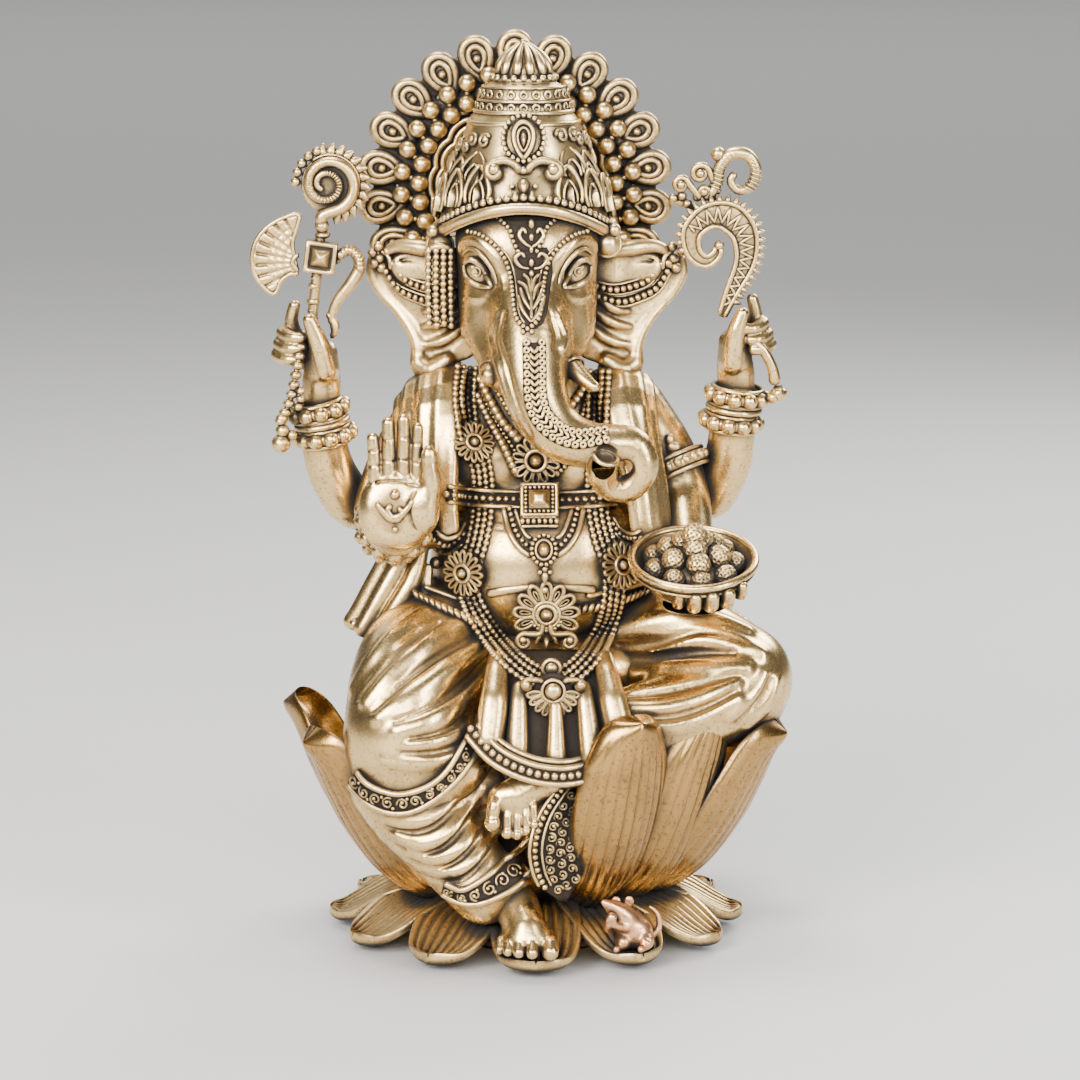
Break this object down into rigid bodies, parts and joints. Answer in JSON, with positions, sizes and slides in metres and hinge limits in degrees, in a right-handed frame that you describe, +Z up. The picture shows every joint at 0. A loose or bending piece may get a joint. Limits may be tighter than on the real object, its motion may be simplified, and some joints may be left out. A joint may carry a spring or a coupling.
{
  "type": "ganesha idol",
  "caption": "Elephant-headed devotional figure in antique brass, seated on a lotus with a leg hanging to the low petals, a feathered halo behind its crown; stands free on a flat base.",
  "frame": {"origin": "middle of the flat underside of the base plate, on the surface that the idol stands on", "axes": "+Z up; the figure faces -Y; +X is to the right of someone looking at the figure's face"},
  "size_m": [0.0989, 0.0876, 0.165],
  "materials": {
    "polished_brass": "polished antique brass with dark patina left in the recesses",
    "antique_brass": "antique brass, brushed high spots over a dark brown patina",
    "coppery_brass": "warmer, coppery cast brass, softly polished"
  },
  "bodies": {
    "root": {"base_plate": "antique_brass", "lotus_core": "antique_brass", "torso": "polished_brass", "head": "polished_brass", "right_thigh": "polished_brass", "left_leg": "polished_brass", "right_shin_wrap": "polished_brass", "right_foot": "polished_brass", "lap_dhoti": "polished_brass", "trunk": "polished_brass", "cup_petal_01": "antique_brass", "cup_petal_02": "antique_brass", "cup_petal_03": "antique_brass", "cup_petal_04": "antique_brass", "cup_petal_05": "antique_brass", "cup_petal_06": "antique_brass", "cup_petal_07": "antique_brass", "cup_petal_08": "antique_brass", "cup_petal_09": "antique_brass", "cup_petal_10": "antique_brass", "foot_petal_01": "antique_brass", "foot_petal_02": "antique_brass", "foot_petal_03": "antique_brass", "foot_petal_04": "antique_brass", "foot_petal_05": "antique_brass", "foot_petal_06": "antique_brass", "foot_petal_07": "antique_brass", "foot_petal_08": "antique_brass", "foot_petal_09": "antique_brass", "foot_petal_10": "antique_brass", "foot_petal_11": "antique_brass", "foot_petal_12": "antique_brass", "front_right_arm": "polished_brass", "blessing_hand": "polished_brass", "front_left_arm": "polished_brass", "rear_right_arm": "polished_brass", "rear_left_arm": "polished_brass", "rear_right_hand": "polished_brass", "rear_left_hand": "polished_brass", "sweets_bowl": "antique_brass", "sweets": "polished_brass", "crown": "polished_brass", "right_ear": "polished_brass", "left_ear": "polished_brass", "right_tusk": "polished_brass", "left_tusk": "polished_brass", "halo": "antique_brass", "front_apron": "polished_brass", "shawl_right": "antique_brass", "shawl_left": "antique_brass", "shawl_tail": "antique_brass", "axe": "antique_brass", "axe_scroll": "antique_brass", "noose": "antique_brass", "rosary": "antique_brass", "garland": "antique_brass", "belly_ornament": "antique_brass", "ear_tassel": "antique_brass", "mouse": "coppery_brass"}
  },
  "joints": []
}
